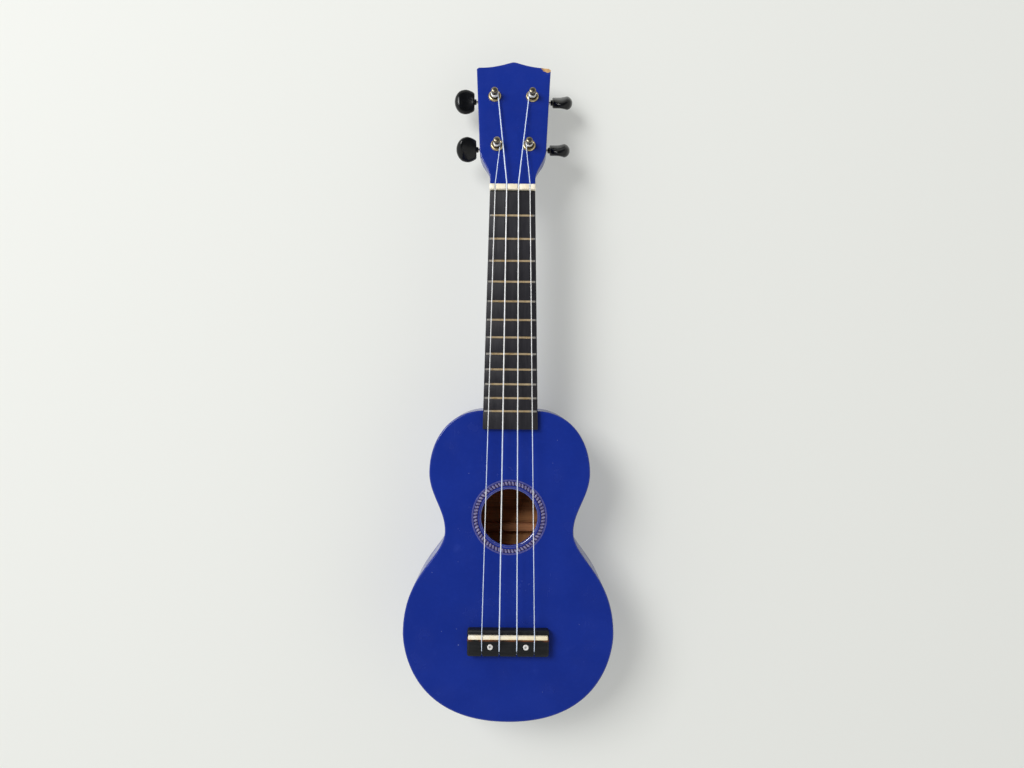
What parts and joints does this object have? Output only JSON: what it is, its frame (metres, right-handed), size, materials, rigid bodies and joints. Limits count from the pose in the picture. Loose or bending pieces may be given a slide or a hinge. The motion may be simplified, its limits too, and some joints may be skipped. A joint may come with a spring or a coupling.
{
  "type": "soprano ukulele",
  "caption": "Small four-string lute with a figure-of-eight body, round soundhole, fretted neck and worm-geared tuners on a slanted headstock.",
  "frame": {"origin": "under the middle of the instrument's length, at the underside of its back, on which it lies", "axes": "+Y along the neck towards the headstock, +X towards the treble (A string) side, +Z out of the soundboard"},
  "size_m": [0.167, 0.531, 0.0694],
  "materials": {
    "blue_lacquer": "gloss blue lacquer",
    "inner_wood": "bare",
    "black_wood": "satin, stained black",
    "cream_plastic": "satin",
    "fret_metal": "polished nickel silver",
    "white_plastic": "gloss",
    "steel": "plated",
    "nylon": "clear",
    "gilt_brass": "polished",
    "plated_steel": "polished",
    "brass": "machined",
    "black_plastic": "gloss"
  },
  "bodies": {
    "instrument": {"soundboard": "blue_lacquer", "back": "blue_lacquer", "side_bass": "blue_lacquer", "side_treble": "blue_lacquer", "neck": "blue_lacquer", "neck_block": "inner_wood", "tail_block": "inner_wood", "top_brace_upper": "inner_wood", "top_brace_lower": "inner_wood", "bridge_plate": "inner_wood", "back_brace_waist": "inner_wood", "back_brace_lower": "inner_wood", "fretboard": "black_wood", "bridge": "black_wood", "nut": "cream_plastic", "saddle": "cream_plastic", "fret_01": "fret_metal", "fret_02": "fret_metal", "fret_03": "fret_metal", "fret_04": "fret_metal", "fret_05": "fret_metal", "fret_06": "fret_metal", "fret_07": "fret_metal", "fret_08": "fret_metal", "fret_09": "fret_metal", "fret_10": "fret_metal", "fret_11": "fret_metal", "fret_12": "fret_metal", "bridge_cap_bass": "white_plastic", "bridge_cap_treble": "white_plastic", "bridge_screw_bass": "steel", "bridge_screw_treble": "steel", "string_g": "nylon", "tuner_g_bushing": "gilt_brass", "tuner_g_plate": "plated_steel", "string_c": "nylon", "tuner_c_bushing": "gilt_brass", "tuner_c_plate": "plated_steel", "string_e": "nylon", "tuner_e_bushing": "gilt_brass", "tuner_e_plate": "plated_steel", "string_a": "nylon", "tuner_a_bushing": "gilt_brass", "tuner_a_plate": "plated_steel"},
    "g_button": {"tuner_g_worm_shaft": "steel", "tuner_g_button": "black_plastic"},
    "g_post": {"tuner_g_post": "plated_steel", "tuner_g_gear": "brass"},
    "c_button": {"tuner_c_worm_shaft": "steel", "tuner_c_button": "black_plastic"},
    "c_post": {"tuner_c_post": "plated_steel", "tuner_c_gear": "brass"},
    "e_button": {"tuner_e_worm_shaft": "steel", "tuner_e_button": "black_plastic"},
    "e_post": {"tuner_e_post": "plated_steel", "tuner_e_gear": "brass"},
    "a_button": {"tuner_a_worm_shaft": "steel", "tuner_a_button": "black_plastic"},
    "a_post": {"tuner_a_post": "plated_steel", "tuner_a_gear": "brass"}
  },
  "joints": [
    {"name": "g_button_turn", "type": "hinge", "parent": "instrument", "child": "g_button", "pos_m": [-0.0128, 0.19485, 0.03051], "axis": [1, 0, 0], "continuous": true},
    {"name": "g_post_turn", "type": "hinge", "parent": "instrument", "child": "g_post", "pos_m": [-0.0128, 0.19284, 0.05087], "axis": [0, 0.2079, 0.9781], "continuous": true},
    {"name": "c_button_turn", "type": "hinge", "parent": "instrument", "child": "c_button", "pos_m": [-0.0152, 0.2372, 0.0215], "axis": [1, 0, 0], "continuous": true},
    {"name": "c_post_turn", "type": "hinge", "parent": "instrument", "child": "c_post", "pos_m": [-0.0152, 0.23519, 0.04187], "axis": [0, 0.2079, 0.9781], "continuous": true},
    {"name": "e_button_turn", "type": "hinge", "parent": "instrument", "child": "e_button", "pos_m": [0.0152, 0.2372, 0.0215], "axis": [1, 0, 0], "continuous": true},
    {"name": "e_post_turn", "type": "hinge", "parent": "instrument", "child": "e_post", "pos_m": [0.0152, 0.23519, 0.04187], "axis": [0, 0.2079, 0.9781], "continuous": true},
    {"name": "a_button_turn", "type": "hinge", "parent": "instrument", "child": "a_button", "pos_m": [0.0128, 0.19485, 0.03051], "axis": [1, 0, 0], "continuous": true},
    {"name": "a_post_turn", "type": "hinge", "parent": "instrument", "child": "a_post", "pos_m": [0.0128, 0.19284, 0.05087], "axis": [0, 0.2079, 0.9781], "continuous": true}
  ],
  "couplings": [
    {"joint": "g_post_turn", "follows": "g_button_turn", "ratio": 0.071429},
    {"joint": "c_post_turn", "follows": "c_button_turn", "ratio": 0.071429},
    {"joint": "e_post_turn", "follows": "e_button_turn", "ratio": 0.071429},
    {"joint": "a_post_turn", "follows": "a_button_turn", "ratio": 0.071429}
  ]
}
